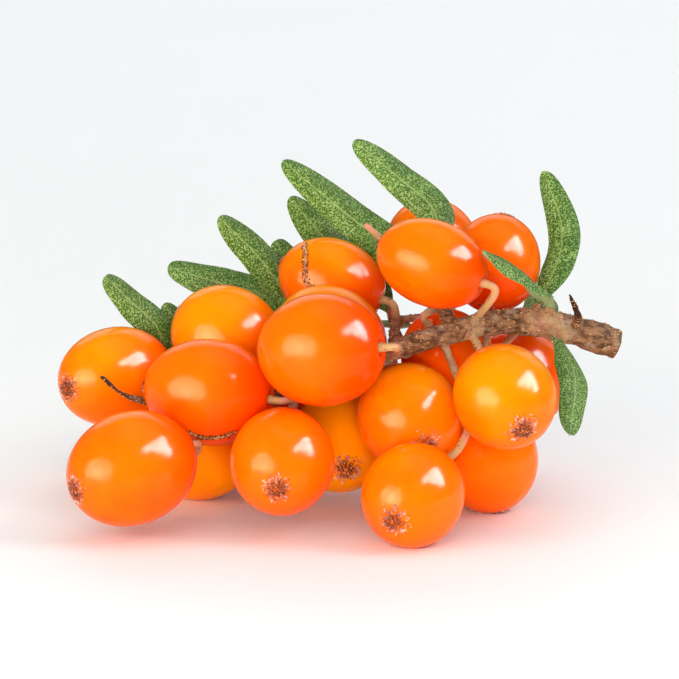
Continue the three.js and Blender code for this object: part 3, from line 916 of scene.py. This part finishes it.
def makeBarkTree():
    net, given = newTree("barkTree", {"Relief": "Float", "Density": "Float", "Seed": "Int"})
    young = net.named("young")
    cut = net.named("cutFace")
    thorn = net.named("bareThorn")
    spot = net.node("GeometryNodeInputPosition")
    drawn = net.vector("MULTIPLY", spot, (0.55, 1.5, 1.5))
    ridge = net.noise(drawn, 1.1, 4.0, 0.6) - 0.5
    lift = ridge * given.also("Relief") * (1.0 - 0.7 * young) * (1.0 - cut)
    normal = net.node("GeometryNodeInputNormal")
    skin = net.node("GeometryNodeSetPosition", {}, {"Geometry": given, "Offset": net.scaled(normal, lift)})
    skin = net.finished(skin, bark)
    seed = given.also("Seed")
    rough = 0.3 - 0.16 * young + 5.6 * thorn * (1.0 - thorn)     # roughest where the thorn begins
    scurf = scatter(
        net, skin, net.flake(*twigMake["scale"]), most=given.also("Density"), share=rough * (1.0 - cut),
        gap=twigMake["scaleGap"], seed=seed, upright=normal, tone=randomValue(net, 0.2, 1.0, seed + 1),
        size=randomValue(net, 0.5, 1.2, seed + 2))
    scurf = net.finished(net.realized(scurf), barkScurf)
    return closeTree(net, net.realized(net.joined(skin, scurf)))


twig = twigMesh()
markBark(twig.data)
growTree(twig, makeBarkTree(), {"Relief": twigMake["relief"], "Density": twigMake["scales"], "Seed": 3})
keepPiece(twig, "bark", "twig")
print("twig made", len(twig.data.polygons))

tableMake = {"half": 330.0, "pale": rgb(241, 243, 244), "cloud": rgb(237, 240, 241)}


def tableShading(net):
    cloud = net.noise(net.millimetres(), 0.02, 2.0)
    colour = net.blend(tableMake["pale"], tableMake["cloud"], cloud)
    return {"Base Color": colour, "Roughness": 0.6 + 0.05 * cloud}


spread = tableMake["half"]
corners = [(-spread, -spread, 0), (spread, -spread, 0), (spread, spread, 0), (-spread, spread, 0)]
table = newObject("table", corners, [(0, 1, 2, 3)])
table.data.transform(Matrix.Scale(mm, 4))
table.data.materials.append(newMaterial("paleTable", tableShading))


lampAim = Vector((0, 0, 0.014))


def addLamp(name, way, distance, size, power, colour, shape="RECTANGLE", lights=True, shines=True,
            aside=(0, 0)):
    lamp = bpy.data.lights.new(name, "AREA")
    lamp.shape = shape
    lamp.size, lamp.size_y = size
    lamp.energy = power
    lamp.color = colour
    made = bpy.data.objects.new(name, lamp)
    turn = Vector(way).to_track_quat("Z", "Y")
    made.location = lampAim + turn @ Vector((*aside, distance))
    made.rotation_euler = turn.to_euler()
    made.visible_diffuse = lights           # some lamps only shine in the gloss, and some only light
    made.visible_glossy = shines
    bpy.context.scene.collection.objects.link(made)


leftWay = (-0.72, -0.70, 0.2)
rightWay = (0.76, -0.28, 0.6)
white = (1.0, 1.0, 1.0)
warm = (1.0, 0.95, 0.86)
amber = (1.0, 0.86, 0.5)
addLamp("leftLight", leftWay, 0.3, (0.2, 0.24), 0.24, warm, "ELLIPSE", shines=False)
addLamp("rightLight", rightWay, 0.3, (0.09, 0.15), 0.2, white, shines=False)
addLamp("overhead", (0.1, 0.1, 1.0), 0.45, (0.4, 0.4), 0.3, white, "ELLIPSE")
addLamp("frontFill", (-0.1, -1.0, 0.35), 0.4, (0.3, 0.15), 0.7, white, shines=False)
addLamp("lowFill", (0.05, -1.0, 0.06), 0.4, (0.08, 0.05), 0.55, white, shines=False)
addLamp("rearLight", (0.1, 1.0, 0.6), 0.4, (0.5, 0.2), 0.5, white)
for layer, side in enumerate((0.08, 0.14, 0.2, 0.26, 0.32)):        # one window that fades towards its edge
    addLamp(f"leftWindow{layer}", leftWay, 0.3, (side, side * 0.85), 46 * side * side, amber, "ELLIPSE",
            lights=False)
for layer, (side, shift) in enumerate(((0.26, 0.0), (0.16, 0.03), (0.08, 0.05))):     # and one cut to a slant
    addLamp(f"rightWindow{layer}", rightWay, 0.3, (side, 0.06), 14.0 * side, white, lights=False,
            aside=(shift, 0.06 - 0.06 * layer))

room = {"colour": (0.97, 0.98, 1.0, 1.0), "even": 0.5, "rise": 0.05, "gloss": 0.12, "seen": 0.95}


def makeRoom():                             # an even pale room, dimmer in the gloss
    world = bpy.data.worlds.new("paleRoom")
    world.use_nodes = True
    world.node_tree.nodes.clear()
    net = Net(world.node_tree)
    way = net.node("ShaderNodeTexCoord", out="Generated")
    apart = net.node("ShaderNodeSeparateXYZ", {}, {"Vector": way}, "X")
    back = net.stretch(apart.also("Y") * 0.9 + apart.also("Z") * 0.45, -0.5, 0.9)
    ray = net.node("ShaderNodeLightPath", out="Is Camera Ray")
    gloss = ray.also("Is Glossy Ray")
    even = room["even"] + room["rise"] * back
    level = (even * (1.0 - gloss) + room["gloss"] * gloss) * (1.0 - ray) + room["seen"] * ray
    shine = net.node("ShaderNodeBackground", {}, {"Color": room["colour"], "Strength": level})
    net.node("ShaderNodeOutputWorld", {}, {"Surface": shine})
    bpy.context.scene.world = world


makeRoom()
bpy.context.scene.view_settings.view_transform = "Standard"

view = {"elevation": 12.0, "lens": 500.0, "field": 0.0575, "aim": (0.0, 0.0, 0.0143)}
camera = bpy.data.cameras.new("camera")
camera.lens = view["lens"]
camera.sensor_width = 36.0
cameraObject = bpy.data.objects.new("camera", camera)
tilt = math.radians(view["elevation"])
distance = view["field"] * view["lens"] / camera.sensor_width
cameraObject.location = Vector(view["aim"]) + distance * Vector((0, -math.cos(tilt), math.sin(tilt)))
cameraObject.rotation_euler = (math.pi / 2 - tilt, 0, 0)
bpy.context.scene.collection.objects.link(cameraObject)
bpy.context.scene.camera = cameraObject
print("stage, lamps and camera set")
